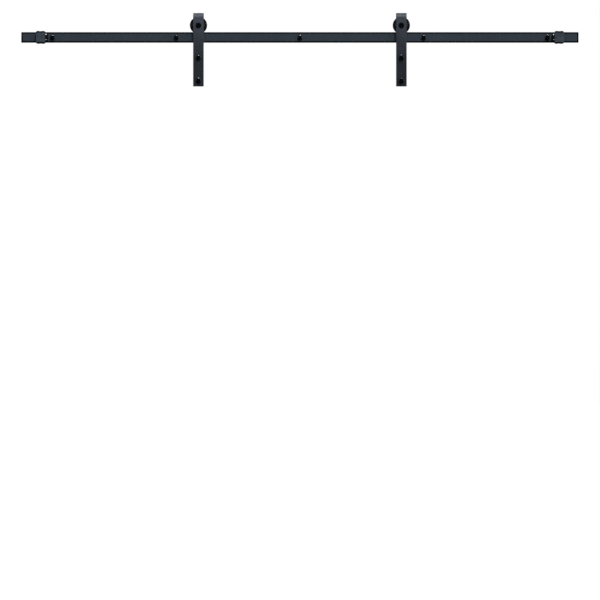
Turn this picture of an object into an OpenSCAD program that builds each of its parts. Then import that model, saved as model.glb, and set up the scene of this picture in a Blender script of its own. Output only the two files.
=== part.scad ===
// Sliding barn door hardware: a flat rail held off the wall by spacers, two end stops with
// rubber bumpers, and two J-strap hangers whose grooved wheels run on the rail's top edge.
// Millimetres. +X runs along the rail, +Y goes into the wall and +Z is up. The origin is on
// the wall's surface, on the axis of the rail's middle wall screw.

/* [Rail] */
// Length of the flat bar
rail_length = 2000; // [1200:10:3000]
// Height of the flat bar
rail_height = 38; // [30:1:50]
// Thickness of the flat bar
rail_thick = 6; // [5:0.5:8]
// Bevel along the bar's edges
rail_bevel = 1.5; // [0.3:0.1:2]
// Distance from the wall to the back of the bar
standoff = 33; // [25:1:45]

/* [Wall fixings] */
// Number of wall screws along the rail
wall_screw_count = 5; // [3:1:9]
// Distance from each end of the rail to its outermost wall screw
wall_screw_inset = 112; // [40:1:200]
// Outside diameter of each wall spacer
spacer_dia = 22; // [16:1:30]
// Length of screw thread that goes into the wall
wall_grip = 34.2; // [22.2:3:52.2]

/* [Screws and bolts] */
// Shank diameter of every screw and of the axle bolts
bolt_dia = 10; // [8:1:12]
// Size of the hex heads and nuts, flat to flat
hex_flats = 16; // [16:0.5:19]
// Height of the hex heads
hex_height = 6.4; // [5:0.1:8]
// Diameter of the clearance holes
hole_dia = 11; // [9:0.5:13]

/* [Hangers] */
// Distance between the two hangers
hanger_spacing = 728; // [400:2:1200]
// Width of the strap
strap_width = 38; // [30:1:50]
// Thickness of the strap
strap_thick = 5; // [4:0.5:8]
// Gap between the strap's front leg and back leg
strap_gap = 26; // [24:1:34]
// Height of the strap's top above the axle
strap_rise = 44.2; // [40:0.1:60]
// Length of the front leg below the axle
front_leg = 220; // [150:1:320]
// Length of the back leg below the axle
back_leg = 20; // [14:1:22]
// Distance from the axle down to the upper door screw
door_screw_drop = 115; // [70:1:160]
// Distance between a hanger's two door screws
door_screw_pitch = 83; // [40:1:120]
// Length of screw thread that goes into the door
door_grip = 28.2; // [19.2:3:43.2]

/* [Wheels] */
// Radius of the groove's floor, which rolls on the rail
tread_radius = 24.5; // [20:0.5:40]
// Radius of the flanges
flange_radius = 31; // [26:0.5:48]
// Width of the wheel
wheel_width = 22; // [18:1:30]
// Width of the groove's floor
groove_width = 7.4; // [6.6:0.1:10]
// Width of the groove at its mouth
mouth_width = 10.4; // [8:0.1:14]

/* [End stops] */
// Distance from the end of the rail to the end stop
stop_inset = 53; // [10:1:200]
// Width of the stop's body along the rail
stop_width = 34; // [24:0.5:50]
// Height of the stop's body
stop_height = 44; // [43:0.5:60]
// Length of the rubber bumper along the rail
bumper_length = 9; // [7.5:0.5:25]
// Height of the rubber bumper
bumper_height = 26; // [24:1:36]
// Distance between a bumper's two screws
bumper_screw_pitch = 18; // [16:1:20]

/* [Hidden] */
$fn = 96;

// Colours
coated_steel = [0.21, 0.24, 0.27];
black_steel = [0.09, 0.10, 0.11];
bright_steel = [0.72, 0.73, 0.75];
black_nylon = [0.05, 0.055, 0.06];
pale_nylon = [0.80, 0.82, 0.84];
black_rubber = [0.035, 0.035, 0.04];

// Rail
rail_y = -standoff - rail_thick / 2;
rail_front = -standoff - rail_thick;
wall_screw_pitch = (rail_length - 2 * wall_screw_inset) / (wall_screw_count - 1);
spacer_bevel = 0.8;

// Screws and bolts
shank_radius = bolt_dia / 2;
hex_radius = hex_flats / 2 / cos(30);
hex_bevel = 30;
hex_land = 0.8;
thread_crest = shank_radius - 0.2;
thread_root = shank_radius - 1.1;
thread_pitch = 3;
thread_land = 1.2;
thread_flank = 0.5;
tip_length = 6.5;
fine_pitch = 1.5;
fine_depth = 0.7;

// Hangers
rolling_gap = 0.05;
axle_z = rail_height / 2 + tread_radius + rolling_gap;
bend_inner = strap_gap / 2;
bend_outer = bend_inner + strap_thick;
bend_z = strap_rise - bend_outer;
strap_bevel = 0.8;
strap_corner = 2;
washer_thick = 2;
washer_radius = 10;
nut_height = 8;
nut_collar = 2.2;
nut_collar_radius = 7.6;
axle_play = 0.05;
axle_head_radius = 10;
axle_head_height = 2.4;
axle_head_bevel = 0.5;
axle_socket_flats = 6;
axle_socket_depth = 4;
axle_end = bend_outer + washer_thick + nut_height + nut_collar + 1.8;

// Bearing: outer ring, inner ring, balls, cage and two shields
bearing_radius = 13;
bearing_width = 8;
outer_shoulder = 10.7;
inner_shoulder = 7.35;
ball_circle = 9;
ball_radius = 2.38;
ball_count = 7;
race_radius = ball_radius + 0.07;
cage_thick = 1.8;
cage_width = 5.2;
pocket_radius = 2.5;
shield_thick = 0.4;
shield_inset = 0.5;
shield_inner = inner_shoulder + 0.35;
shield_outer = outer_shoulder + 0.4;
axle_spacer_radius = 7.2;

// Wheel
wheel_lip = 12;
disc_radius = 21.4;
disc_bevel = 2;
flange_setback = 1.8;
rim_bevel = 1.2;

// End stops
slot_play = 0.2;
stop_front = rail_front - 17;
stop_back = -standoff + 7;
stop_bevel_x = 3.4;
stop_bevel_z = 2.6;
stop_edge = 1.6;
pad_height = 0.7;
pad_width = 8;
pad_inset = 4.5;
set_screw_radius = 3;
set_screw_z = 9;
set_screw_socket = 1.7;
bumper_y = rail_front - 8.5;
bumper_depth = 15;
bumper_pad = 4.6;
bumper_boss_height = 9;
bumper_boss_depth = 11;
bumper_corner = 4;
bumper_skin = 1.6;
bumper_screw_radius = 2.5;
bumper_collar_radius = 3;
bumper_screw_bite = 12;
fit_play = 0.02;

// ---- Helpers ----

// Turns a child that is built along +Z so that it points out of the wall
module outward() { rotate([90, 0, 0]) children(); }

// Turns a child that is built along +Z so that it points along +X
module sideways() { rotate([0, 90, 0]) children(); }

module at_wall_screw(i) {
    translate([-rail_length / 2 + wall_screw_inset + i * wall_screw_pitch, 0, 0]) children();
}

// Puts a child built around the axle on the left (-1) or right (1) hanger
module at_hanger(side) {
    translate([side * hanger_spacing / 2, rail_y, axle_z]) children();
}

// Puts a child built for the right end stop, from its inner face outward, on either side
module at_stop(side) {
    mirror([side < 0 ? 1 : 0, 0, 0])
        translate([rail_length / 2 - stop_inset - stop_width, 0, 0]) children();
}

// Rectangle with bevelled corners, centred
module bevelled(w, h, bw, bh) {
    polygon([[-w / 2 + bw, -h / 2], [w / 2 - bw, -h / 2], [w / 2, -h / 2 + bh],
             [w / 2, h / 2 - bh], [w / 2 - bw, h / 2], [-w / 2 + bw, h / 2],
             [-w / 2, h / 2 - bh], [-w / 2, -h / 2 + bh]]);
}

// Rectangle with round corners, centred
module rounded(w, h, r) {
    square([w - 2 * r, h], center = true);
    square([w, h - 2 * r], center = true);
    for (x = [-1, 1], y = [-1, 1])
        translate([x * (w / 2 - r), y * (h / 2 - r)]) circle(r);
}

// Tube along Z, centred, with bevelled rims
module tube(outer, inner, length, bevel) {
    rotate_extrude() polygon([[inner, -length / 2], [outer - bevel, -length / 2],
        [outer, -length / 2 + bevel], [outer, length / 2 - bevel],
        [outer - bevel, length / 2], [inner, length / 2]]);
}

// Hexagon along +Z, corners up and down once outward, with the usual bevel at its top corners,
// and at its bottom ones if asked
module hexagon(height, both = false) {
    face = hex_flats / 2 - hex_land;
    drop = (hex_radius - face) * tan(hex_bevel);
    intersection() {
        rotate(30) cylinder(r = hex_radius, h = height, $fn = 6);
        rotate_extrude() polygon([[0, 0], [both ? face : hex_radius, 0],
            [hex_radius, both ? drop : 0.01], [hex_radius, height - drop],
            [face, height], [0, height]]);
    }
}

// Hex wood screw: the head stands on z = 0, the plain shank goes down through what it holds,
// and the thread grips below that
module wood_screw(through, grip) {
    turns = floor((grip - thread_land) / thread_pitch + 0.5);
    hexagon(hex_height);
    rotate_extrude() polygon(concat(
        [[0, 1], [shank_radius, 1], [shank_radius, -through]],
        [for (i = [0 : turns]) let (z = -through - i * thread_pitch) each [
            [thread_crest, z], [thread_crest, z - thread_land],
            [thread_root, z - thread_land - thread_flank],
            [thread_root, z - thread_pitch + (i < turns ? thread_flank : 0)]]],
        [[0, -through - turns * thread_pitch - thread_pitch - tip_length]]));
}

// ---- Rail and its wall fixings ----

module rail() color(coated_steel) difference() {
    translate([0, rail_y, 0]) intersection() {
        sideways() linear_extrude(rail_length, center = true)
            bevelled(rail_height, rail_thick, rail_bevel, rail_bevel);
        linear_extrude(rail_height, center = true)
            bevelled(rail_length, rail_thick, rail_bevel, rail_bevel);
        outward() linear_extrude(rail_thick, center = true)
            bevelled(rail_length, rail_height, rail_bevel, rail_bevel);
    }
    for (i = [0 : wall_screw_count - 1])
        at_wall_screw(i) outward() cylinder(d = hole_dia, h = standoff + rail_thick + 5);
}

module wall_spacer(i) color(coated_steel)
    at_wall_screw(i) translate([0, -standoff / 2, 0]) outward()
        tube(spacer_dia / 2, hole_dia / 2, standoff, spacer_bevel);

module wall_spacer_1() { wall_spacer(0); }
module wall_spacer_2() { wall_spacer(1); }
module wall_spacer_3() { wall_spacer(2); }
module wall_spacer_4() { wall_spacer(3); }
module wall_spacer_5() { wall_spacer(4); }

module wall_screws() color(black_steel)
    for (i = [0 : wall_screw_count - 1])
        at_wall_screw(i) translate([0, rail_front, 0]) outward()
            wood_screw(standoff + rail_thick, wall_grip);

// ---- End stops ----

// Outline of the stop's body from the front, with raised pads near its top and bottom corners
module stop_outline() {
    translate([stop_width / 2, 0])
        bevelled(stop_width, stop_height, stop_bevel_x, stop_bevel_z);
    for (x = [pad_inset, stop_width - pad_inset - pad_width], z = [-1, 1])
        translate([x + pad_width / 2, z * (stop_height / 2 - 1)])
            bevelled(pad_width, 2 * (1 + pad_height), pad_height, pad_height);
}

module stop_body() {
    depth = stop_back - stop_front;
    tall = stop_height + 2 * pad_height;
    difference() {
        intersection() {
            translate([0, stop_back, 0]) outward() linear_extrude(depth) stop_outline();
            translate([0, stop_front + depth / 2, 0]) sideways() linear_extrude(stop_width)
                bevelled(tall, depth, stop_edge, stop_edge);
            translate([stop_width / 2, stop_front + depth / 2, -tall / 2])
                linear_extrude(tall) bevelled(stop_width, depth, stop_edge, stop_edge);
        }
        translate([-1, rail_y - rail_thick / 2 - slot_play, -rail_height / 2 - slot_play])
            cube([stop_width + 2, rail_thick + 2 * slot_play, rail_height + 2 * slot_play]);
        for (z = [-1, 1]) {
            translate([stop_width / 2, stop_back + 1, z * set_screw_z]) outward()
                cylinder(r = set_screw_radius + fit_play, h = stop_back + standoff + 1);
            translate([-1, bumper_y, z * bumper_screw_pitch / 2]) sideways()
                cylinder(r = bumper_screw_radius + fit_play, h = bumper_screw_bite + 1.5);
        }
    }
}

// Grub screws that clamp the body to the rail from behind
module set_screws() {
    length = stop_back + standoff - 0.5;
    for (z = [-1, 1])
        translate([stop_width / 2, -standoff, z * set_screw_z]) rotate([-90, 0, 0])
            difference() {
                rotate_extrude() polygon([[0, 0], [set_screw_radius - 1, 0],
                    [set_screw_radius, 1], [set_screw_radius, length - 0.5],
                    [set_screw_radius - 0.5, length], [0, length]]);
                translate([0, 0, length - 3])
                    cylinder(r = set_screw_socket, h = 4, $fn = 6);
            }
}

module bumper() {
    difference() {
        union() {
            intersection() {
                translate([-bumper_length, bumper_y, 0]) sideways()
                    linear_extrude(bumper_pad)
                        rounded(bumper_height, bumper_depth, bumper_corner);
                translate([0, bumper_y + bumper_depth / 2, 0]) outward()
                    linear_extrude(bumper_depth)
                        translate([-bumper_length + bumper_pad, 0])
                            rounded(2 * bumper_pad, bumper_height, bumper_corner);
            }
            translate([-bumper_length + bumper_pad - 1, bumper_y, 0]) sideways()
                linear_extrude(bumper_length - bumper_pad + 1)
                    rounded(bumper_boss_height, bumper_boss_depth, bumper_corner);
        }
        for (z = [-1, 1])
            translate([bumper_skin - bumper_length, bumper_y, z * bumper_screw_pitch / 2])
                sideways() cylinder(r = bumper_screw_radius + fit_play, h = bumper_length);
    }
}

// Two collared studs that hold the rubber a little off the body
module bumper_screws() {
    gap = bumper_length - bumper_pad;
    tip = bumper_skin + fit_play - bumper_length;
    for (z = [-1, 1])
        translate([0, bumper_y, z * bumper_screw_pitch / 2]) sideways()
            rotate_extrude() polygon([[0, tip], [bumper_screw_radius, tip],
                [bumper_screw_radius, -gap], [bumper_collar_radius - 0.4, -gap],
                [bumper_collar_radius, -gap + 0.4], [bumper_collar_radius, -0.4],
                [bumper_collar_radius - 0.4, 0], [bumper_screw_radius, 0],
                [bumper_screw_radius, bumper_screw_bite - 1],
                [bumper_screw_radius - 1, bumper_screw_bite], [0, bumper_screw_bite]]);
}

module left_stop_body() color(coated_steel) at_stop(-1) stop_body();
module right_stop_body() color(coated_steel) at_stop(1) stop_body();
module left_stop_set_screws() color(black_steel) at_stop(-1) set_screws();
module right_stop_set_screws() color(black_steel) at_stop(1) set_screws();
module left_bumper() color(black_rubber) at_stop(-1) bumper();
module right_bumper() color(black_rubber) at_stop(1) bumper();
module left_bumper_screws() color(bright_steel) at_stop(-1) bumper_screws();
module right_bumper_screws() color(bright_steel) at_stop(1) bumper_screws();

// ---- Hangers, built around the axle with the front at -Y ----

module strap_section() { bevelled(strap_thick, strap_width, strap_bevel, strap_bevel); }

// A straight leg that goes down from the bend, with bevelled lower corners
module strap_leg(length) {
    intersection() {
        translate([0, 0, -length]) linear_extrude(length + bend_z)
            rotate(90) strap_section();
        translate([0, strap_thick, (bend_z - length) / 2]) outward()
            linear_extrude(2 * strap_thick) translate([0, strap_corner / 2])
                bevelled(strap_width, length + bend_z + strap_corner, strap_corner, strap_corner);
    }
}

module strap() {
    middle = bend_inner + strap_thick / 2;
    difference() {
        union() {
            translate([0, -middle, 0]) strap_leg(front_leg);
            translate([0, middle, 0]) strap_leg(back_leg);
            translate([0, 0, bend_z]) rotate([90, 0, 90]) rotate_extrude(angle = 180)
                translate([middle, 0]) strap_section();
        }
        translate([0, bend_outer + 1, 0]) outward()
            cylinder(r = shank_radius + axle_play, h = 2 * bend_outer + 2);
        for (i = [0, 1])
            translate([0, 1 - bend_inner, -door_screw_drop - i * door_screw_pitch]) outward()
                cylinder(d = hole_dia, h = strap_thick + 2);
    }
}

module door_screws()
    for (i = [0, 1])
        translate([0, -bend_outer, -door_screw_drop - i * door_screw_pitch]) outward()
            wood_screw(strap_thick, door_grip);

// Half section of the wheel: a raised hub disc, and flanges that stand back from its faces
module wheel_section() {
    hub = wheel_width / 2;
    rim = hub - flange_setback;
    difference() {
        polygon([[wheel_lip, -hub], [disc_radius, -hub], [disc_radius + disc_bevel, -rim],
            [flange_radius - rim_bevel, -rim], [flange_radius, -rim + rim_bevel],
            [flange_radius, -mouth_width / 2 - 0.6], [flange_radius - 0.6, -mouth_width / 2],
            [tread_radius, -groove_width / 2], [tread_radius, groove_width / 2],
            [flange_radius - 0.6, mouth_width / 2], [flange_radius, mouth_width / 2 + 0.6],
            [flange_radius, rim - rim_bevel], [flange_radius - rim_bevel, rim],
            [disc_radius + disc_bevel, rim], [disc_radius, hub], [wheel_lip, hub]]);
        translate([0, -bearing_width / 2]) square([bearing_radius, bearing_width]);
    }
}

module wheel() outward() rotate_extrude() wheel_section();

module race_groove() translate([ball_circle, 0]) circle(race_radius);

module bearing_outer_ring() outward() rotate_extrude() difference() {
    bevel = 0.5;
    half = bearing_width / 2;
    polygon([[outer_shoulder, -half], [bearing_radius - bevel, -half],
        [bearing_radius, -half + bevel], [bearing_radius, half - bevel],
        [bearing_radius - bevel, half], [outer_shoulder, half]]);
    race_groove();
    for (s = [-1, 1])
        translate([outer_shoulder - 1, s * (half - shield_inset) - shield_thick / 2])
            square([shield_outer + 1 - outer_shoulder, shield_thick]);
}

module bearing_inner_ring() outward() rotate_extrude() difference() {
    translate([shank_radius + axle_play, -bearing_width / 2])
        square([inner_shoulder - shank_radius - axle_play, bearing_width]);
    race_groove();
}

module bearing_balls() outward()
    for (i = [0 : ball_count - 1])
        rotate(i * 360 / ball_count) translate([ball_circle, 0, 0]) sphere(ball_radius);

module bearing_cage() outward() difference() {
    tube(ball_circle + cage_thick / 2, ball_circle - cage_thick / 2, cage_width, 0.2);
    for (i = [0 : ball_count - 1])
        rotate(i * 360 / ball_count) translate([ball_circle - 3, 0, 0]) sideways()
            cylinder(r = pocket_radius, h = 6);
}

module bearing_shields() outward()
    for (s = [-1, 1])
        translate([0, 0, s * (bearing_width / 2 - shield_inset)])
            tube(shield_outer, shield_inner, shield_thick, 0.1);

// The axle: a low round head with a hex socket, a plain shank and a fine thread for the nut
module axle_bolt() translate([0, -bend_outer, 0]) outward() {
    length = axle_end + bend_outer;
    turns = floor((axle_end - bend_outer) / fine_pitch);
    difference() {
        rotate_extrude() polygon(concat(
            [[0, axle_head_height], [axle_head_radius - axle_head_bevel, axle_head_height],
             [axle_head_radius, axle_head_height - axle_head_bevel], [axle_head_radius, 0],
             [shank_radius, 0]],
            [for (i = [turns : -1 : 1]) let (z = -length + i * fine_pitch + 1) each [
                [shank_radius, z], [shank_radius - fine_depth, z - fine_pitch / 2]]],
            [[shank_radius, -length + 1], [shank_radius - 1, -length], [0, -length]]));
        translate([0, 0, axle_head_height - axle_socket_depth])
            cylinder(d = axle_socket_flats / cos(30), h = axle_socket_depth + 1, $fn = 6);
    }
}

module axle_washer() translate([0, bend_outer + washer_thick / 2, 0]) outward()
    tube(washer_radius, shank_radius + axle_play, washer_thick, 0.3);

module axle_nut() translate([0, bend_outer + washer_thick, 0]) rotate([-90, 0, 0])
    difference() {
        union() {
            hexagon(nut_height, both = true);
            rotate_extrude() polygon([[0, nut_height - 1], [nut_collar_radius, nut_height - 1],
                [nut_collar_radius, nut_height + nut_collar - 0.6],
                [nut_collar_radius - 0.6, nut_height + nut_collar], [0, nut_height + nut_collar]]);
        }
        translate([0, 0, -1]) cylinder(r = shank_radius + axle_play, h = nut_height + nut_collar + 2);
        translate([0, 0, nut_height - 1])
            cylinder(r = nut_collar_radius - 1.2, h = nut_collar + 0.4);
    }

module nut_insert() translate([0, bend_outer + washer_thick + nut_height - 1, 0])
    rotate([-90, 0, 0]) difference() {
        cylinder(r = nut_collar_radius - 1.2, h = nut_collar + 0.4);
        translate([0, 0, -1]) cylinder(r = shank_radius + axle_play, h = nut_collar + 3);
    }

module axle_spacer(side) {
    length = bend_inner - bearing_width / 2;
    translate([0, side * (bearing_width / 2 + length / 2), 0]) outward()
        tube(axle_spacer_radius, shank_radius + axle_play, length, 0.4);
}

module left_strap() color(coated_steel) at_hanger(-1) strap();
module left_door_screws() color(black_steel) at_hanger(-1) door_screws();
module left_wheel() color(black_nylon) at_hanger(-1) wheel();
module left_bearing_outer_ring() color(bright_steel) at_hanger(-1) bearing_outer_ring();
module left_bearing_inner_ring() color(bright_steel) at_hanger(-1) bearing_inner_ring();
module left_bearing_balls() color(bright_steel) at_hanger(-1) bearing_balls();
module left_bearing_cage() color(bright_steel) at_hanger(-1) bearing_cage();
module left_bearing_shields() color(bright_steel) at_hanger(-1) bearing_shields();
module left_axle_bolt() color(black_steel) at_hanger(-1) axle_bolt();
module left_axle_washer() color(black_steel) at_hanger(-1) axle_washer();
module left_axle_nut() color(black_steel) at_hanger(-1) axle_nut();
module left_nut_insert() color(pale_nylon) at_hanger(-1) nut_insert();
module left_axle_spacer_front() color(bright_steel) at_hanger(-1) axle_spacer(-1);
module left_axle_spacer_back() color(bright_steel) at_hanger(-1) axle_spacer(1);

module right_strap() color(coated_steel) at_hanger(1) strap();
module right_door_screws() color(black_steel) at_hanger(1) door_screws();
module right_wheel() color(black_nylon) at_hanger(1) wheel();
module right_bearing_outer_ring() color(bright_steel) at_hanger(1) bearing_outer_ring();
module right_bearing_inner_ring() color(bright_steel) at_hanger(1) bearing_inner_ring();
module right_bearing_balls() color(bright_steel) at_hanger(1) bearing_balls();
module right_bearing_cage() color(bright_steel) at_hanger(1) bearing_cage();
module right_bearing_shields() color(bright_steel) at_hanger(1) bearing_shields();
module right_axle_bolt() color(black_steel) at_hanger(1) axle_bolt();
module right_axle_washer() color(black_steel) at_hanger(1) axle_washer();
module right_axle_nut() color(black_steel) at_hanger(1) axle_nut();
module right_nut_insert() color(pale_nylon) at_hanger(1) nut_insert();
module right_axle_spacer_front() color(bright_steel) at_hanger(1) axle_spacer(-1);
module right_axle_spacer_back() color(bright_steel) at_hanger(1) axle_spacer(1);

rail();
wall_spacer_1();
wall_spacer_2();
wall_spacer_3();
wall_spacer_4();
wall_spacer_5();
wall_screws();
left_stop_body();
left_stop_set_screws();
left_bumper();
left_bumper_screws();
right_stop_body();
right_stop_set_screws();
right_bumper();
right_bumper_screws();
left_strap();
left_door_screws();
left_wheel();
left_bearing_outer_ring();
left_bearing_inner_ring();
left_bearing_balls();
left_bearing_cage();
left_bearing_shields();
left_axle_bolt();
left_axle_washer();
left_axle_nut();
left_nut_insert();
left_axle_spacer_front();
left_axle_spacer_back();
right_strap();
right_door_screws();
right_wheel();
right_bearing_outer_ring();
right_bearing_inner_ring();
right_bearing_balls();
right_bearing_cage();
right_bearing_shields();
right_axle_bolt();
right_axle_washer();
right_axle_nut();
right_nut_insert();
right_axle_spacer_front();
right_axle_spacer_back();
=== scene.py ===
import math

import bmesh
import bpy
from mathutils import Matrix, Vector


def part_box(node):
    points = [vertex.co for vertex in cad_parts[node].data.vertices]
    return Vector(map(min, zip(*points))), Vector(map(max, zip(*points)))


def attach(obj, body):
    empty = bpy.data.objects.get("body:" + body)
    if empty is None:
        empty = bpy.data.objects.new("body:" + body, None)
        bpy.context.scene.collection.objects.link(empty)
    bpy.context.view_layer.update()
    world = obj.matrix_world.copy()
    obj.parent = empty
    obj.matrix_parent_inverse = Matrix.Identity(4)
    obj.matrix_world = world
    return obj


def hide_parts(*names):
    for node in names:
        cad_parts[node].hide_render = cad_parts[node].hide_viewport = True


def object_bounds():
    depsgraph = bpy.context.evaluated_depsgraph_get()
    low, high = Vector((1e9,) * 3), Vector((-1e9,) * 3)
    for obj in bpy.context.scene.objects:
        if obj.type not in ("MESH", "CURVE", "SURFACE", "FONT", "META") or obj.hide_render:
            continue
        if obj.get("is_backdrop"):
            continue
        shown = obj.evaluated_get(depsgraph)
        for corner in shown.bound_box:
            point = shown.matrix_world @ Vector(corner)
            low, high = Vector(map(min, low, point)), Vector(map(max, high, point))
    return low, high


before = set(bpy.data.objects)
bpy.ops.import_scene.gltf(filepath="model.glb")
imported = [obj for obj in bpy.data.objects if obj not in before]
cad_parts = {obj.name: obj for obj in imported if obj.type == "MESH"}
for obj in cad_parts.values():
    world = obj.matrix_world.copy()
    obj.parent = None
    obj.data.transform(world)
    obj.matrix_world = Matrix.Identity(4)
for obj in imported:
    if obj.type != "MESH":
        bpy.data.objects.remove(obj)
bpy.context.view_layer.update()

MM = 0.001
TAU = 2 * math.pi
SHARP_DEG = 38
SIDES = (("left", -1), ("right", 1))

# Sizes that the CAD model also has, in millimetres
BOLT_R = 5.0
HOLE_R = 5.5
AXLE_BORE = 5.05
THREAD_CREST = 4.8
THREAD_ROOT = 3.9
THREAD_PITCH = 3.0
WALL_GRIP = 34.2
DOOR_GRIP = 28.2
HEX_FLATS = 16.0
HEX_HEIGHT = 6.4
AXLE_HEAD_R = 10.0
AXLE_HEAD = 2.4
AXLE_SOCKET = 6.0
AXLE_SOCKET_DEEP = 4.0
NUT_COLLAR = 2.2
BEND_IN = 13.0
STRAP_T = 5.0
BACK_LEG = 20.0
GRUB_R = 3.0
STUD_COLLAR = 3.0
STUD_R = 2.5
STUD_BITE = 12.0
PAD = 4.6
PAD_CORNER = 4.0
PAD_SKIN = 1.6
RAISED = 0.7
SLOT_PLAY = 0.2

# Sizes that only the visual has: a screw's point, the play of a screw in its hole, and the rounding of the
# stops' front and back edges and of the straps' feet
TIP = 7.5
PLAY = 0.02
STOP_EDGE = 1.7
FOOT = 2.0


# ---------------------------------------------------------------- mesh helpers
def rounded(points, steps=4):
    """Outline from (x, y, radius) corners, each corner turned into an arc of its radius."""
    out = []
    n = len(points)
    for i, (x, y, r) in enumerate(points):
        p = Vector((x, y))
        if r <= 0:
            out.append((x, y))
            continue
        a = (Vector(points[i - 1][:2]) - p).normalized()
        b = (Vector(points[(i + 1) % n][:2]) - p).normalized()
        half = a.angle(b) / 2
        if half > math.radians(89):
            out.append((x, y))
            continue
        reach = r / math.tan(half)
        hub = p + (a + b).normalized() * (r / math.sin(half))
        start, end = p + a * reach - hub, p + b * reach - hub
        turn = start.angle_signed(end)
        for k in range(steps + 1):
            ang = -turn * k / steps
            c, s = math.cos(ang), math.sin(ang)
            out.append((hub.x + start.x * c - start.y * s, hub.y + start.x * s + start.y * c))
    return out


def oblong(half_a, half_b, r, steps):
    """A centred rectangle with round corners."""
    return rounded([(-half_a, -half_b, r), (half_a, -half_b, r), (half_a, half_b, r), (-half_a, half_b, r)],
                   steps)


def quarter(steps):
    """(rise, inset) pairs, as shares of the radius, round an edge from an end face to a side."""
    angles = [math.pi / 2 * k / steps for k in range(steps + 1)]
    return [(1 - math.cos(a), 1 - math.sin(a)) for a in angles]


def grid(bm, rows, wrap_rows=False, wrap_cols=True, cap_ends=False):
    """Joins rows of points, all the same length, into quads."""
    verts = [[bm.verts.new(p) for p in row] for row in rows]
    nr, nc = len(verts), len(verts[0])
    for i in range(nr if wrap_rows else nr - 1):
        for j in range(nc if wrap_cols else nc - 1):
            a, b = verts[i], verts[(i + 1) % nr]
            k = (j + 1) % nc
            bm.faces.new((a[j], a[k], b[k], b[j]))
    if cap_ends:
        bm.faces.new(list(reversed(verts[0])))
        bm.faces.new(verts[-1])


def to_y(p):
    """A point built around +Z as (x, y, z), turned so that +Z points out of the wall, to -Y."""
    return Vector((p[0], -p[2], p[1]))


def to_x(p):
    """The same, turned so that +Z points along +X."""
    return Vector((p[2], p[1], -p[0]))


def place(points, turn, origin):
    return [turn(p) * MM + origin for p in points]


def ring(radius, z, steps):
    return [(radius * math.cos(TAU * j / steps), radius * math.sin(TAU * j / steps), z) for j in range(steps)]


def lathe(bm, profile, origin, turn=to_y, steps=96):
    """Revolves a closed outline of (radius, height) points, in mm, about its axis through origin."""
    grid(bm, [place(ring(r, z, steps), turn, origin) for r, z in profile], wrap_rows=True)


def turned(bm, profile, origin, turn, steps):
    """Revolves an open outline whose two ends lie on the axis."""
    rows = [place(ring(max(r, 1e-4), z, steps), turn, origin) for r, z in profile]
    grid(bm, rows, cap_ends=True)


def tidy(bm):
    """Merges doubled points, turns the faces outward and marks the sharp edges."""
    bmesh.ops.remove_doubles(bm, verts=bm.verts, dist=1e-6)
    bmesh.ops.dissolve_degenerate(bm, edges=bm.edges, dist=1e-6)
    bmesh.ops.recalc_face_normals(bm, faces=bm.faces)
    limit = math.radians(SHARP_DEG)
    for f in bm.faces:
        f.smooth = True
    for e in bm.edges:
        e.smooth = not (len(e.link_faces) == 2 and e.calc_face_angle(0) > limit)


def piece(name, bm):
    tidy(bm)
    mesh = bpy.data.meshes.new(name)
    bm.to_mesh(mesh)
    bm.free()
    obj = bpy.data.objects.new(name, mesh)
    bpy.context.scene.collection.objects.link(obj)
    return obj


def apply_modifiers(obj):
    deps = bpy.context.evaluated_depsgraph_get()
    deps.update()
    obj.data = bpy.data.meshes.new_from_object(obj.evaluated_get(deps))
    obj.modifiers.clear()


def bake(obj):
    """Tidies a piece's mesh, marks its sharp edges, and weights its normals by area."""
    bm = bmesh.new()
    bm.from_mesh(obj.data)
    tidy(bm)
    bm.to_mesh(obj.data)
    bm.free()
    m = obj.modifiers.new("weights", "WEIGHTED_NORMAL")
    m.keep_sharp = True
    m.weight = 80
    apply_modifiers(obj)
    return obj


def cut(obj, makers):
    """Cuts the solids that makers build out of obj."""
    bm = bmesh.new()
    for make in makers:
        make(bm)
    tool = piece("cutter", bm)
    m = obj.modifiers.new("cut", "BOOLEAN")
    m.operation, m.solver, m.object = "DIFFERENCE", "EXACT", tool
    apply_modifiers(obj)
    bpy.data.objects.remove(tool)


def hole(origin, radius, low, high, turn=to_y):
    """A maker of a round cutter, in mm, from low to high along its axis."""
    return lambda bm: turned(bm, [(0, low), (radius, low), (radius, high), (0, high)], origin, turn, 48)


def hex_radius(angle):
    """Distance from a hexagon's axis to its side, with the corners a little worn."""
    a = (angle + math.pi / 6) % (math.pi / 3) - math.pi / 6
    a = math.pi / 6 - abs(a)
    return min(HEX_FLATS / 2 / math.cos(math.pi / 6 - a), HEX_FLATS / 2 / math.cos(math.pi / 6) * 0.985)


def hex_rows(height, both=False, steps=96):
    """Rows of a hex head on z = 0, bevelled at the top as a turned head is, or at both ends."""
    face = HEX_FLATS / 2 - 0.85
    soft = 0.25

    def outline(z_of, scale_of=lambda r: r):
        pts = []
        for j in range(steps):
            a = TAU * j / steps
            r = hex_radius(a)
            q = scale_of(r)
            pts.append((q * math.cos(a), q * math.sin(a), z_of(r)))
        return pts

    def drop(r):
        return max(0.0, (r - face) * math.tan(math.radians(30)))

    rows = []
    if both:
        rows += [ring(face - 0.6, 0, steps), ring(face, 0.05, steps),
                 outline(lambda r: drop(r) + 0.1), outline(lambda r: drop(r) + 0.1 + soft)]
    else:
        rows += [outline(lambda r: 0.0, lambda r: r - 0.15), outline(lambda r: 0.15)]
    rows += [outline(lambda r: height - drop(r) - soft),
             outline(lambda r: height - drop(r) - 0.07, lambda r: r - 0.06),
             outline(lambda r: height - drop(r) * 0.9, lambda r: r - 0.25),
             ring(face, height - 0.03, steps), ring(face - 0.35, height, steps),
             ring(0.55 * face, height, steps)]
    return rows


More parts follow.
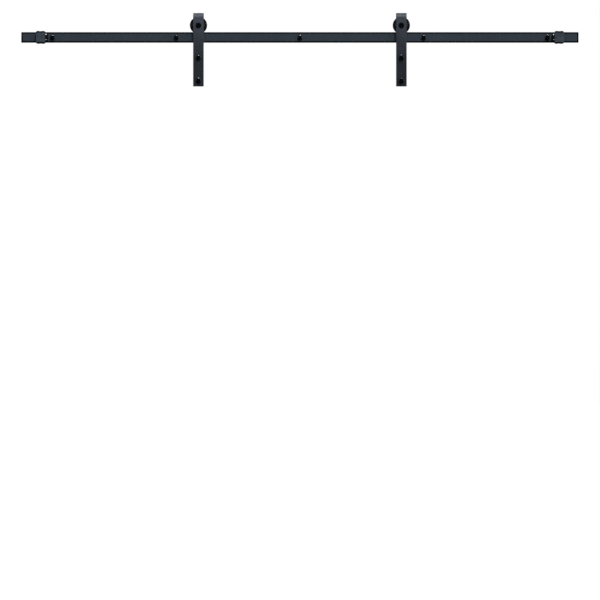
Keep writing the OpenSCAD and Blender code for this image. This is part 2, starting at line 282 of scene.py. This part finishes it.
def hex_head(bm, origin):
    rows = hex_rows(HEX_HEIGHT)
    flat = [(x * 0.5, y * 0.5, 0) for x, y, _ in rows[0]]
    rows = [flat] + rows + [ring(0.2, HEX_HEIGHT, len(flat))]
    grid(bm, [place(r, to_y, origin) for r in rows], cap_ends=True)


def socket_rows(flats, top, bottom, steps=48):
    """Rows down the sides of a hex socket, with a small bevel at its mouth."""
    rows = []
    for z, size in ((top, flats + 0.6), (top - 0.3, flats), (bottom, flats)):
        row = []
        for j in range(steps):
            a = TAU * j / steps
            r = size / 2 / math.cos((a + math.pi / 6) % (math.pi / 3) - math.pi / 6)
            row.append((r * math.cos(a), r * math.sin(a), z))
        rows.append(row)
    return rows + [ring(0.2, bottom, steps)]


def thread(bm, origin, top, low, pitch, root, shape, steps=40, taper=1.5):
    """A helical thread from top down to low, in mm. shape is (share of the pitch, radius) corners."""
    k = len(shape)
    turns = int((top - low) / pitch) + 2
    rows = []
    for i in range(turns * k + 1):
        share, radius = shape[i % k]
        row = []
        for j in range(steps + 1):
            z = top - pitch * (i // k - 1 + share + j / steps)
            z_kept = min(max(z, low), top)
            r = root + (radius - root) * min((top - z_kept) / taper, 1.0)
            a = TAU * j / steps
            row.append((r * math.cos(a), -r * math.sin(a), z_kept))
        rows.append(row)
    grid(bm, [place(r, to_y, origin) for r in rows], wrap_cols=False)


def wood_screw(bm, origin, through, grip):
    """A hex wood screw whose head stands on origin and points out of the wall."""
    hex_head(bm, origin)
    end = -through - grip + 1
    shank = [(0, 0.5), (BOLT_R, 0.5), (BOLT_R, -through), (THREAD_CREST - 0.2, -through - 0.3),
             (THREAD_ROOT, -through - 2.0), (THREAD_ROOT, end), (THREAD_ROOT * 0.8, end - 0.35 * TIP),
             (THREAD_ROOT * 0.42, end - 0.72 * TIP), (0.15, end - TIP), (0, end - TIP)]
    turned(bm, shank, origin, to_y, 40)
    valley = THREAD_ROOT - 0.05
    shape = [(0.00, valley), (0.30, valley), (0.46, THREAD_CREST), (0.54, THREAD_CREST), (0.70, valley)]
    thread(bm, origin, -through - 0.6, end, THREAD_PITCH, THREAD_ROOT, shape)


# ---------------------------------------------------------------- material helpers
def nodes_of(name):
    m = bpy.data.materials.new(name)
    m.use_nodes = True
    t = m.node_tree
    t.nodes.clear()
    out = t.nodes.new("ShaderNodeOutputMaterial")
    bsdf = t.nodes.new("ShaderNodeBsdfPrincipled")
    t.links.new(bsdf.outputs[0], out.inputs[0])
    coord = t.nodes.new("ShaderNodeTexCoord")
    return m, t, bsdf, coord


def noise(t, coord, scale, detail=3.0, rough=0.5, stretch=None):
    n = t.nodes.new("ShaderNodeTexNoise")
    n.inputs["Scale"].default_value = scale
    n.inputs["Detail"].default_value = detail
    n.inputs["Roughness"].default_value = rough
    source = coord.outputs["Object"]
    if stretch:
        m = t.nodes.new("ShaderNodeMapping")
        m.inputs["Scale"].default_value = stretch
        t.links.new(source, m.inputs["Vector"])
        source = m.outputs["Vector"]
    t.links.new(source, n.inputs["Vector"])
    return n.outputs["Fac"]


def remap(t, value, a, b, lo, hi, smooth=False):
    n = t.nodes.new("ShaderNodeMapRange")
    n.interpolation_type = "SMOOTHSTEP" if smooth else "LINEAR"
    for key, v in (("From Min", a), ("From Max", b), ("To Min", lo), ("To Max", hi)):
        n.inputs[key].default_value = v
    t.links.new(value, n.inputs["Value"])
    return n.outputs["Result"]


def varied(t, coord, scale, detail, lo, hi, rough=0.5):
    """A value that wanders between lo and hi over the surface."""
    return remap(t, noise(t, coord, scale, detail, rough), 0.3, 0.7, lo, hi)


def math_node(t, op, a, b=None):
    n = t.nodes.new("ShaderNodeMath")
    n.operation = op
    for i, v in enumerate((a, b)):
        if v is None:
            continue
        if isinstance(v, (int, float)):
            n.inputs[i].default_value = v
        else:
            t.links.new(v, n.inputs[i])
    return n.outputs[0]


def product(t, a, b):
    return math_node(t, "MULTIPLY", a, b)


def mix_colour(t, factor, a, b):
    n = t.nodes.new("ShaderNodeMix")
    n.data_type = "RGBA"
    t.links.new(factor, n.inputs[0])
    for i, v in ((6, a), (7, b)):
        if isinstance(v, tuple):
            n.inputs[i].default_value = (*v, 1)
        else:
            t.links.new(v, n.inputs[i])
    return n.outputs[2]


def scaled(t, colour, factor):
    """A colour times a value."""
    n = t.nodes.new("ShaderNodeVectorMath")
    n.operation = "SCALE"
    n.inputs[0].default_value = colour
    t.links.new(factor, n.inputs["Scale"])
    return n.outputs["Vector"]


def bump(t, bsdf, height, distance):
    n = t.nodes.new("ShaderNodeBump")
    n.inputs["Distance"].default_value = distance
    n.inputs["Strength"].default_value = 1.0
    t.links.new(height, n.inputs["Height"])
    t.links.new(n.outputs["Normal"], bsdf.inputs["Normal"])


def drive(t, bsdf, colour=None, roughness=None, specular=None):
    """Links what is given to the shader's sockets."""
    for socket, value in (("Base Color", colour), ("Roughness", roughness), ("Specular IOR Level", specular)):
        if value is not None:
            t.links.new(value, bsdf.inputs[socket])


def split(t, vector):
    s = t.nodes.new("ShaderNodeSeparateXYZ")
    t.links.new(vector, s.inputs[0])
    return s.outputs


def painted_edge_shade(t, coord, middle, half_x, half_z, low, high, top, bottom):
    """Painted shade along the edges of a plate's front face: 1 in the middle, falling to top or bottom from
    high to low mm off its edges, a dark band that stands in for shade.
    """
    x, _, z = split(t, coord.outputs["Object"])
    off = math_node(t, "ABSOLUTE", math_node(t, "SUBTRACT", math_node(t, "ABSOLUTE", x), middle * MM))
    from_end = math_node(t, "SUBTRACT", half_x * MM, off)
    from_rim = math_node(t, "SUBTRACT", half_z * MM, math_node(t, "ABSOLUTE", z))
    inside = remap(t, math_node(t, "MINIMUM", from_end, from_rim), low * MM, high * MM, 0, 1, True)
    edge_shade_floor = remap(t, z, -0.002, 0.002, bottom, top)
    outside = math_node(t, "SUBTRACT", 1.0, inside)
    front = remap(t, split(t, coord.outputs["Normal"])[1], -0.6, -0.3, 1.0, 0.0, True)
    dark = product(t, product(t, outside, math_node(t, "SUBTRACT", 1.0, edge_shade_floor)), front)
    return math_node(t, "SUBTRACT", 1.0, dark)


# ---------------------------------------------------------------- materials
def powder_coat(name, colour, grain, depth, mottle, gloss, edge_shade=None, rub=None, painted_falloff=None):
    """Textured powder coat. The edge tuple sizes a painted shade, a dark band along the front face's edges; rub
    is the height in metres above which the wheels have burnished it; and (low height, high height, share) gives
    a painted shade that darkens the coat and its sheen downward."""
    rough = 0.46
    m, t, bsdf, coord = nodes_of(name)
    broad = varied(t, coord, 7.0, 2.0, 1 - mottle * 0.6, 1 + mottle * 0.6)
    fine = varied(t, coord, 240.0, 3.0, 1 - mottle, 1 + mottle)
    speck = remap(t, noise(t, coord, grain * 1.3, 2.0, 0.6), 0.36, 0.64, 0.84, 1.16)
    tone = product(t, product(t, broad, fine), speck)
    shine = varied(t, coord, 150.0, 3.0, gloss * 0.85, gloss * 1.15)
    # Painted shade: the coat and its sheen darken downward, a light falloff painted into the colour
    if painted_falloff:
        z = split(t, coord.outputs["Object"])[2]
        falloff_shade = remap(t, z, painted_falloff[0], painted_falloff[1], painted_falloff[2], 1.0)
        tone = product(t, tone, falloff_shade)
        shine = product(t, shine, falloff_shade)
    haze = remap(t, noise(t, coord, 38.0, 5.0, 0.62), 0.52, 0.80, 0.0, 0.16, True)
    if edge_shade:
        # Painted shade: the coat, its sheen and haze darken in a band along the front face's edges
        edge = painted_edge_shade(t, coord, *edge_shade)
        tone, shine, haze = product(t, tone, edge), product(t, shine, edge), product(t, haze, edge)
    base = mix_colour(t, haze, scaled(t, colour, tone), tuple(c * 1.7 + 0.01 for c in colour))
    roughness = varied(t, coord, 21.0, 4.0, rough - 0.06, rough + 0.06)
    if rub is not None:
        z = split(t, coord.outputs["Object"])[2]
        streak = remap(t, noise(t, coord, 30.0, 4.0, 0.6, (0.6, 40.0, 1.0)), 0.35, 0.65, 0.25, 1.0)
        worn = product(t, remap(t, z, rub - 0.0006, rub, 0.0, 1.0, True), streak)
        base = mix_colour(t, product(t, worn, 0.6), base, (0.12, 0.125, 0.135))
        roughness = math_node(t, "SUBTRACT", roughness, product(t, worn, 0.16))
    drive(t, bsdf, base, roughness, shine)
    coarse = product(t, noise(t, coord, grain * 0.27, 2.0), 0.7)
    bump(t, bsdf, math_node(t, "ADD", noise(t, coord, grain, 2.0), coarse), depth)
    return m


def bolt_black(name):
    """Black oxide over cold-formed steel, a little polished on its highest spots."""
    m, t, bsdf, coord = nodes_of(name)
    base = scaled(t, (0.0012, 0.0016, 0.0021), varied(t, coord, 420.0, 4.0, 0.6, 1.5, 0.6))
    bare = remap(t, noise(t, coord, 170.0, 5.0, 0.7), 0.62, 0.76, 0.0, 0.06, True)
    base = mix_colour(t, bare, base, (0.055, 0.058, 0.062))
    drive(t, bsdf, base, varied(t, coord, 240.0, 4.0, 0.15, 0.22), varied(t, coord, 90.0, 4.0, 0.48, 0.74))
    bump(t, bsdf, noise(t, coord, 1500.0, 3.0, 0.6), 0.00002)
    return m


def moulded(name, colour, rough, grain, depth, gloss):
    """Moulded nylon or rubber."""
    m, t, bsdf, coord = nodes_of(name)
    base = scaled(t, colour, varied(t, coord, 55.0, 4.0, 0.8, 1.25, 0.6))
    dust = remap(t, noise(t, coord, 120.0, 5.0, 0.7), 0.55, 0.8, 0.0, 0.3, True)
    base = mix_colour(t, dust, base, tuple(c * 2.2 + 0.002 for c in colour))
    drive(t, bsdf, base, varied(t, coord, 80.0, 4.0, rough - 0.08, rough + 0.08),
          varied(t, coord, 65.0, 3.0, gloss * 0.8, gloss * 1.2))
    bump(t, bsdf, noise(t, coord, grain, 3.0, 0.55), depth)
    return m


def bright(name, colour, rough, tint=(0.55, 0.52, 0.42), metal=1.0):
    """Plated or ground steel, with faint stains of another tint."""
    m, t, bsdf, coord = nodes_of(name)
    base = scaled(t, colour, varied(t, coord, 180.0, 4.0, 0.88, 1.08, 0.6))
    stain = remap(t, noise(t, coord, 60.0, 4.0, 0.6), 0.52, 0.76, 0.0, 0.35, True)
    bsdf.inputs["Metallic"].default_value = metal
    drive(t, bsdf, mix_colour(t, stain, base, tint), varied(t, coord, 300.0, 3.0, rough - 0.06, rough + 0.08))
    bump(t, bsdf, noise(t, coord, 600.0, 2.0), 0.00001)
    return m


# Plate sizes for the painted edge shade, a dark band painted along the front face's edges: middle, half length,
# half height, where the dark edge ends and starts, its share above and below
RAIL_EDGE_SHADE = (0.0, 1000.0, 19.0, 4.5, 6.3, 0.08, 0.00)
STOP_EDGE_SHADE = (931.4, 22.4, 22.4, 3.6, 6.8, 0.10, 0.10)
# The rail's and stops' coats carry a painted shade along their front edges, the straps' coat a painted shade
# that darkens downward
MATERIALS = {
    "rail_coat": powder_coat("rail_powder_coat", (0.031, 0.0415, 0.0545), 1100.0, 0.00007, 0.10, 0.2,
                             edge_shade=RAIL_EDGE_SHADE, rub=0.019),
    "strap_coat": powder_coat("strap_powder_coat", (0.0445, 0.053, 0.066), 560.0, 0.00018, 0.34, 0.2,
                              painted_falloff=(-0.085, 0.06, 0.47)),
    "stop_coat": powder_coat("stop_powder_coat", (0.0455, 0.0565, 0.071), 560.0, 0.00018, 0.34, 0.2,
                             edge_shade=STOP_EDGE_SHADE),
    "spacer_coat": powder_coat("spacer_powder_coat", (0.044, 0.056, 0.072), 1100.0, 0.00003, 0.08, 0.25),
    "black_bolt": bolt_black("black_oxide"),
    "wheel_nylon": moulded("black_nylon", (0.0012, 0.0016, 0.0022), 0.34, 700.0, 0.00003, 0.30),
    "bumper_rubber": moulded("black_rubber", (0.0020, 0.0024, 0.0032), 0.70, 1100.0, 0.00004, 0.12),
    "insert_nylon": moulded("pale_nylon", (0.55, 0.60, 0.68), 0.45, 700.0, 0.00003, 0.4),
    "zinc": bright("zinc_plate", (0.56, 0.58, 0.62), 0.30, metal=0.6),
    "bearing_steel": bright("bearing_steel", (0.58, 0.58, 0.59), 0.24, tint=(0.45, 0.42, 0.36)),
    "cage_steel": bright("cage_steel", (0.50, 0.46, 0.38), 0.36),
}


def keep(obj, body, slot, *nodes):
    """Gives a piece its material, its body and the CAD nodes that it stands for."""
    obj.data.materials.clear()
    obj.data.materials.append(MATERIALS[slot])
    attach(obj, body)
    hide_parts(*nodes)


ROOT = "rail_and_wall_fixings"
rail_low, rail_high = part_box("rail")


def centre(node):
    low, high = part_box(node)
    return (low + high) / 2


def tube(name, node, body, slot, inner, outer, soft_in, soft_out, steps=96):
    """A tube along Y, as long as its node, with its rims rounded."""
    low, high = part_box(node)
    half = (high.y - low.y) / 2 / MM
    bm = bmesh.new()
    lathe(bm, rounded([(inner, -half, soft_in), (outer, -half, soft_out), (outer, half, soft_out),
                       (inner, half, soft_in)], 3), (low + high) / 2, steps=steps)
    keep(bake(piece(name, bm)), body, slot, node)


# ---------------------------------------------------------------- rail and wall fixings
def rounded_bar(bm, low, high, radius, steps=4):
    """A box with every edge rounded, by rings along X."""
    size = high - low
    mid = (low + high) / 2
    rows = []
    for end in (-1, 1):
        span = []
        for rise, inset in quarter(steps):
            x = mid.x + end * (size.x / 2 - radius * rise)
            pts = oblong(size.y / 2 - radius * inset, size.z / 2 - radius * inset,
                         max(radius * (1 - inset), 1e-5), steps)
            span.append([Vector((x, mid.y + y, mid.z + z)) for y, z in pts])
        rows += span if end < 0 else list(reversed(span))
    grid(bm, rows, cap_ends=True)


screw_x = [centre(f"wall_spacer_{i}").x for i in range(1, 6)]

bm = bmesh.new()
rounded_bar(bm, rail_low, rail_high, 1.9 * MM)
rail = piece("rail_bar", bm)
cut(rail, [hole(Vector((x, 0, 0)), HOLE_R, 20, 60) for x in screw_x])
keep(bake(rail), ROOT, "rail_coat", "rail")

for i in range(1, 6):
    low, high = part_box(f"wall_spacer_{i}")
    outer = (high.x - low.x) / 2 / MM
    tube(f"spacer_tube_{i}", f"wall_spacer_{i}", ROOT, "spacer_coat", HOLE_R, outer, 0.4, 1.0, 72)

bm = bmesh.new()
for x in screw_x:
    wood_screw(bm, Vector((x, rail_low.y, 0)), -rail_low.y / MM, WALL_GRIP)
keep(piece("wall_screw_set", bm), ROOT, "black_bolt", "wall_screws")


# ---------------------------------------------------------------- end stops
def rail_slot(low, high):
    """A maker of the cutter for the slot that the rail runs through, over a stop's whole width."""
    def make(bm):
        bmesh.ops.create_cube(bm, size=1)
        mid = Vector(((low.x + high.x) / 2, (rail_low.y + rail_high.y) / 2, 0))
        size = rail_high - rail_low + Vector((0, 2 * SLOT_PLAY * MM, 2 * SLOT_PLAY * MM))
        size.x = high.x - low.x + 0.01
        for v in bm.verts:
            v.co = Vector((v.co.x * size.x, v.co.y * size.y, v.co.z * size.z)) + mid
    return make


def stop_outline(hx, hz):
    """A stop from the front, with raised pads near the ends of its top and bottom, in mm."""
    lower = [(-hx, -hz + 2.6, 1.2), (-hx + 3.4, -hz, 0.5), (-hx + 5.2, -hz - RAISED, 0.4),
             (-hx + 11.8, -hz - RAISED, 0.3), (-hx + 12.6, -hz, 0.3), (hx - 12.6, -hz, 0.3),
             (hx - 11.8, -hz - RAISED, 0.3), (hx - 5.2, -hz - RAISED, 0.4), (hx - 3.4, -hz, 0.5),
             (hx, -hz + 2.6, 1.2)]
    return rounded(lower + [(-x, -z, r) for x, z, r in lower], 3)


def stop_block(side, grubs, studs, inward):
    low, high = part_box(f"{side}_stop_body")
    mid = (low + high) / 2
    width, depth, height = (high - low) / MM
    hx, hz = width / 2, height / 2 - RAISED
    flat = stop_outline(hx, hz)
    rows = []
    for end in (-1, 1):
        span = []
        for rise, inset in quarter(5):
            y = mid.y + end * (depth / 2 - STOP_EDGE * rise) * MM
            fx, fz = (hx - STOP_EDGE * inset) / hx, (hz + RAISED - STOP_EDGE * inset) / (hz + RAISED)
            span.append([Vector((mid.x + x * fx * MM, y, z * fz * MM)) for x, z in flat])
        rows += span if end < 0 else list(reversed(span))
    bm = bmesh.new()
    grid(bm, rows, cap_ends=True)
    body = piece(f"{side}_stop_block", bm)
    cut(body, [rail_slot(low, high)])
    bores = sorted((-inward, inward * (STUD_BITE + 0.6)))
    cut(body, [hole(Vector((at.x, 0, at.z)), GRUB_R + PLAY, 20, 33.1) for at in grubs]
        + [hole(at, STUD_R + PLAY, *bores, to_x) for at in studs])
    keep(bake(body), ROOT, "stop_coat", f"{side}_stop_body")


def grub_screws(side, grubs):
    low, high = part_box(f"{side}_stop_set_screws")
    depth = (high.y - low.y) / MM
    bm = bmesh.new()
    for at in grubs:
        side_view = [(1.4, depth), (2.2, depth), (GRUB_R, depth - 0.8), (GRUB_R, 0.5), (2.6, 0.05), (2.1, 0)]
        rows = [ring(r, z, 48) for r, z in side_view]
        rows += [[(x, y, -z) for x, y, z in r] for r in socket_rows(3.0, 0.0, -3.0)]
        grid(bm, [place(r, to_y, at) for r in rows], cap_ends=True)
    keep(piece(f"{side}_grub_screws", bm), ROOT, "black_bolt", f"{side}_stop_set_screws")


def rubber_bumper(side, studs, inward, tip, long):
    """A rounded pad with a narrower boss behind it, from its tip at the inner end of the stop."""
    low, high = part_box(f"{side}_bumper")
    mid_y = (low.y + high.y) / 2
    hy, hz = (high.y - low.y) / 2 / MM, (high.z - low.z) / 2 / MM
    skirt = 0.6

    def loop(x, half_y, half_z, r):
        return [Vector((tip + inward * x * MM, mid_y + y * MM, z * MM))
                for y, z in oblong(half_y, half_z, r, 5)]

    rows = []
    for rise, inset in quarter(8):
        back = PAD_CORNER * inset
        rows.append(loop(PAD_CORNER * rise, hy - back * 0.7, hz - back, PAD_CORNER - back * 0.5))
    for rise, inset in quarter(3):
        back = skirt * rise
        rows.append(loop(PAD - skirt * inset, hy - back, hz - back, PAD_CORNER - back))
    rows += [loop(PAD, 5.9, 4.9, 2.6), loop(PAD + 0.5, 5.5, 4.5, 2.5), loop(long - 0.4, 5.5, 4.5, 2.5),
             loop(long, 5.2, 4.2, 2.4)]
    bm = bmesh.new()
    grid(bm, rows, cap_ends=True)
    pad = piece(f"{side}_rubber_bumper", bm)
    bores = sorted((inward * PAD_SKIN, inward * (long + 1)))
    cut(pad, [hole(Vector((tip, mid_y, at.z)), STUD_R + PLAY, *bores, to_x) for at in studs])
    keep(bake(pad), ROOT, "bumper_rubber", f"{side}_bumper")


def bumper_studs(side, studs, inward, long):
    """Collared studs that hold the rubber a little off the body."""
    far, gap = PAD_SKIN - long + PLAY, long - PAD
    shape = rounded([(0, far, 0), (STUD_R, far, 0.3), (STUD_R, -gap, 0.1), (STUD_COLLAR, -gap, 0.15),
                     (STUD_COLLAR, 0, 0.15), (STUD_R, 0, 0.1), (STUD_R, STUD_BITE, 0.9), (0, STUD_BITE, 0)], 4)
    bm = bmesh.new()
    for at in studs:
        turned(bm, [(r, inward * along) for r, along in shape], at, to_x, 48)
    keep(piece(f"{side}_bumper_studs", bm), ROOT, "zinc", f"{side}_bumper_screws")


for side, s in SIDES:
    low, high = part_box(f"{side}_stop_body")
    inner = low.x if s > 0 else high.x
    low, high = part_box(f"{side}_stop_set_screws")
    grub_z = (high.z - low.z) / 2 - GRUB_R * MM
    grubs = [Vector(((low.x + high.x) / 2, high.y, z)) for z in (-grub_z, grub_z)]
    low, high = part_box(f"{side}_bumper_screws")
    stud_z = (high.z - low.z) / 2 - STUD_COLLAR * MM
    studs = [Vector((inner, (low.y + high.y) / 2, z)) for z in (-stud_z, stud_z)]
    low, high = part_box(f"{side}_bumper")
    tip = low.x if s > 0 else high.x
    long = abs(inner - tip) / MM
    stop_block(side, grubs, studs, s)
    grub_screws(side, grubs)
    rubber_bumper(side, studs, s, tip, long)
    bumper_studs(side, studs, s, long)


# ---------------------------------------------------------------- hangers
# The wheel's outline as (radius, height, rounding), from its hub disc over the flanges and the groove between
# them, and back through the seat of the bearing
WHEEL = [(12, -11, 0.4), (21.4, -11, 0.5), (23.4, -9.2, 0.5), (31, -9.2, 1.3), (31, -5.2, 0.8),
         (24.5, -3.7, 0.9), (24.5, 3.7, 0.9), (31, 5.2, 0.8), (31, 9.2, 1.3), (23.4, 9.2, 0.5), (21.4, 11, 0.5),
         (12, 11, 0.4), (12, 4, 0.2), (13, 4, 0), (13, -4, 0), (12, -4, 0.2)]


def strap_path(front_leg, bend_z):
    """The bar's centre line from the foot of the front leg over the bend to the back leg, as (y, z, direction
    in Y, direction in Z, inset of the section) about the axle, in mm."""
    middle = BEND_IN + STRAP_T / 2
    path = [(-middle, -front_leg + FOOT * rise, 0, 1, FOOT * inset) for rise, inset in quarter(5)]
    path.append((-middle, bend_z, 0, 1, 0))
    for k in range(1, 40):
        a = math.pi * k / 40
        path.append((-middle * math.cos(a), bend_z + middle * math.sin(a), math.sin(a), math.cos(a), 0))
    path.append((middle, bend_z, 0, -1, 0))
    path += [(middle, -BACK_LEG + FOOT * rise, 0, -1, FOOT * inset) for rise, inset in reversed(quarter(5))]
    return path


def j_strap(side, axle, door_screw_z):
    low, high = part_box(f"{side}_strap")
    width = (high.x - low.x) / 2 / MM
    bend_z = (high.z - axle.z) / MM - BEND_IN - STRAP_T
    rows = []
    for y, z, to_back, up, inset in strap_path((axle.z - low.z) / MM, bend_z):
        section = oblong(width - inset, STRAP_T / 2 - min(inset * 0.4, 0.7), 1.1, 4)
        rows.append([axle + Vector((x, y + n * up, z - n * to_back)) * MM for x, n in section])
    bm = bmesh.new()
    grid(bm, rows, cap_ends=True)
    strap = piece(f"{side}_j_strap", bm)
    cut(strap, [hole(Vector((axle.x, 0, axle.z)), AXLE_BORE, 0, 80)]
        + [hole(Vector((axle.x, 0, z)), HOLE_R, 40, 70) for z in door_screw_z])
    keep(bake(strap), f"{side}_hanger", "strap_coat", f"{side}_strap")


def door_screws(side, axle, door_screw_z):
    bm = bmesh.new()
    for z in door_screw_z:
        wood_screw(bm, Vector((axle.x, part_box(f"{side}_strap")[0].y, z)), STRAP_T, DOOR_GRIP)
    keep(piece(f"{side}_door_screw_pair", bm), f"{side}_hanger", "black_bolt", f"{side}_door_screws")


def grooved_wheel(side, axle):
    bm = bmesh.new()
    lathe(bm, rounded(WHEEL, 4), axle, steps=144)
    keep(bake(piece(f"{side}_grooved_wheel", bm)), f"{side}_roller", "wheel_nylon", f"{side}_wheel")


def axle_bolt(side, axle):
    """A low round head with a hex socket, a plain shank, and a helical thread at its far end."""
    low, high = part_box(f"{side}_axle_bolt")
    length = (high.y - low.y) / MM - AXLE_HEAD
    head = Vector((axle.x, low.y + AXLE_HEAD * MM, axle.z))
    shank, crest, root, threaded = BOLT_R - 0.02, 4.95, 4.15, 13
    bm = bmesh.new()
    shape = rounded([(0, -length, 0), (3.6, -length, 0.2), (4.2, -length + 0.6, 0.2),
                     (4.2, -length + threaded - 1, 0.2), (shank, -length + threaded, 0), (shank, 0, 0),
                     (AXLE_HEAD_R - 0.2, 0, 0), (AXLE_HEAD_R, 0.2, 0.1), (AXLE_HEAD_R, AXLE_HEAD - 0.5, 0.2),
                     (AXLE_HEAD_R - 0.5, AXLE_HEAD, 0.2), (4.2, AXLE_HEAD, 0)], 3)
    rows = [ring(max(r, 1e-4), z, 48) for r, z in shape]
    rows += socket_rows(AXLE_SOCKET, AXLE_HEAD, AXLE_HEAD - AXLE_SOCKET_DEEP)
    grid(bm, [place(r, to_y, head) for r in rows], cap_ends=True)
    shape = [(0.0, root), (0.44, crest), (0.56, crest)]
    thread(bm, head, -length + threaded, -length + 0.5, 1.5, root, shape, 48, 1.2)
    keep(piece(f"{side}_axle_bolt_m10", bm), f"{side}_hanger", "black_bolt", f"{side}_axle_bolt")


def lock_nut(side, axle):
    """A bevelled hexagon with a collar that is rolled over a nylon ring."""
    low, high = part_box(f"{side}_axle_nut")
    at = Vector((axle.x, high.y, axle.z))
    deep = (high.y - low.y) / MM
    rows = [[(x, y, z + NUT_COLLAR) for x, y, z in r] for r in hex_rows(deep - NUT_COLLAR, both=True)]
    inside_and_collar = [(5.6, deep), (AXLE_BORE, deep - 0.5), (AXLE_BORE, 2.9), (6.5, 2.9), (6.5, 0.35),
                         (6.6, 0.05), (7.1, 0.0), (7.5, 0.35), (7.6, 0.9), (7.6, 2.1)]
    rows = rows[1:-1] + [ring(r, z, 96) for r, z in inside_and_collar]
    bm = bmesh.new()
    grid(bm, [place(r, to_y, at) for r in rows], wrap_rows=True)
    keep(bake(piece(f"{side}_lock_nut", bm)), f"{side}_hanger", "black_bolt", f"{side}_axle_nut")


def nylon_ring(side):
    low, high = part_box(f"{side}_nut_insert")
    half = (high.y - low.y) / 2 / MM
    outline = rounded([(AXLE_BORE, -half, 0.3), (6.4, -half, 0.3), (6.4, half, 0.1), (AXLE_BORE, half, 0.1)], 3)
    bm = bmesh.new()
    lathe(bm, outline, (low + high) / 2)
    keep(bake(piece(f"{side}_nylon_ring", bm)), f"{side}_hanger", "insert_nylon", f"{side}_nut_insert")


def finish_bearing(side):
    """Bearing parts stay as the CAD model has them, with their own finish."""
    for part in ("outer_ring", "inner_ring", "balls", "shields", "cage"):
        for material_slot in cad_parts[f"{side}_bearing_{part}"].material_slots:
            material_slot.link = "OBJECT"
            material_slot.material = MATERIALS["cage_steel" if part == "cage" else "bearing_steel"]


for side, s in SIDES:
    axle = centre(f"{side}_wheel")
    low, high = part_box(f"{side}_door_screws")
    corner = HEX_FLATS / 2 / math.cos(math.pi / 6) * MM
    door_screw_z = (high.z - corner, low.z + corner)
    j_strap(side, axle, door_screw_z)
    door_screws(side, axle, door_screw_z)
    grooved_wheel(side, axle)
    axle_bolt(side, axle)
    tube(f"{side}_flat_washer", f"{side}_axle_washer", f"{side}_hanger", "black_bolt", AXLE_BORE, 10, 0.2, 0.5)
    lock_nut(side, axle)
    nylon_ring(side)
    for end in ("front", "back"):
        tube(f"{side}_{end}_sleeve", f"{side}_axle_spacer_{end}", f"{side}_hanger", "zinc", AXLE_BORE, 7.2, 0.2,
             0.5, 64)
    finish_bearing(side)

# ---------------------------------------------------------------- floor, light and camera
FLOOR_DROP = 1.96
bm = bmesh.new()
bmesh.ops.create_grid(bm, x_segments=1, y_segments=1, size=40)
for v in bm.verts:
    v.co.z = -FLOOR_DROP
floor = piece("studio_floor", bm)
if floor.data.polygons[0].normal.z < 0:
    floor.data.flip_normals()
m, t, bsdf, _ = nodes_of("pale_floor")
bsdf.inputs["Roughness"].default_value = 0.9
bsdf.inputs["Base Color"].default_value = (0.86, 0.86, 0.86, 1)
# clear from below, so that it doesn't hide the object's underside
clear = t.nodes.new("ShaderNodeBsdfTransparent")
geometry = t.nodes.new("ShaderNodeNewGeometry")
switch = t.nodes.new("ShaderNodeMixShader")
t.links.new(geometry.outputs["Backfacing"], switch.inputs[0])
t.links.new(bsdf.outputs[0], switch.inputs[1])
t.links.new(clear.outputs[0], switch.inputs[2])
t.links.new(switch.outputs[0], t.nodes["Material Output"].inputs[0])
floor.data.materials.append(m)
floor.visible_diffuse = False
floor.visible_glossy = False
floor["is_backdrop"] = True

# Lighting: a white surround as the camera sees it, a soft box above the front, a key lamp, a front lamp, two
# low side lamps and a back lamp
scene = bpy.context.scene
scene.view_settings.view_transform = "Standard"
world = bpy.data.worlds.new("studio")
scene.world = world
world.use_nodes = True
wt = world.node_tree
wt.nodes.clear()
w_out = wt.nodes.new("ShaderNodeOutputWorld")
seen = wt.nodes.new("ShaderNodeBackground")
seen.inputs[0].default_value = (1, 1, 1, 1)
lit = wt.nodes.new("ShaderNodeBackground")
sky = wt.nodes.new("ShaderNodeTexCoord")
toward = wt.nodes.new("ShaderNodeVectorMath")
toward.operation = "DOT_PRODUCT"
toward.inputs[1].default_value = (0.0, -0.5, 0.866)
wt.links.new(sky.outputs["Generated"], toward.inputs[0])
box_light = remap(wt, toward.outputs["Value"], 0.55, 0.88, 0, 1, True)
wt.links.new(mix_colour(wt, box_light, (0.014, 0.015, 0.017), (0.45, 0.47, 0.50)), lit.inputs[0])
path = wt.nodes.new("ShaderNodeLightPath")
choose = wt.nodes.new("ShaderNodeMixShader")
wt.links.new(path.outputs["Is Camera Ray"], choose.inputs[0])
wt.links.new(lit.outputs[0], choose.inputs[1])
wt.links.new(seen.outputs[0], choose.inputs[2])
wt.links.new(choose.outputs[0], w_out.inputs[0])


def sun(name, toward, strength, angle_deg):
    """A sun in the direction toward, as seen from the object."""
    light = bpy.data.lights.new(name, "SUN")
    light.energy = strength
    light.angle = math.radians(angle_deg)
    obj = bpy.data.objects.new(name, light)
    obj.rotation_euler = (-Vector(toward)).to_track_quat("-Z", "Y").to_euler()
    scene.collection.objects.link(obj)


sun("key", (0.197, -0.438, 0.877), 2.8, 6)
sun("front_lamp", (0.12, -0.78, 0.61), 0.8, 12)
sun("right_lamp", (0.93, -0.36, 0.10), 0.9, 25)
sun("left_lamp", (-0.93, -0.36, 0.10), 0.35, 25)
sun("back_lamp", (-0.30, 0.86, 0.42), 2.6, 20)

DISTANCE = 24.0
FIELD = 2.1531  # metres of the rail's plane that the picture's width takes in
DROP = 0.9423  # how far the camera's axis passes below the rail
camera = bpy.data.cameras.new("camera")
camera.sensor_width = 36.0
camera.lens = 36.0 * DISTANCE / FIELD
camera.clip_end = 200
cam = bpy.data.objects.new("camera", camera)
cam.location = (0.00035, rail_low.y - DISTANCE, -DROP)
cam.rotation_euler = (math.radians(90), 0, 0)
scene.collection.objects.link(cam)
scene.camera = cam

low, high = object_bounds()
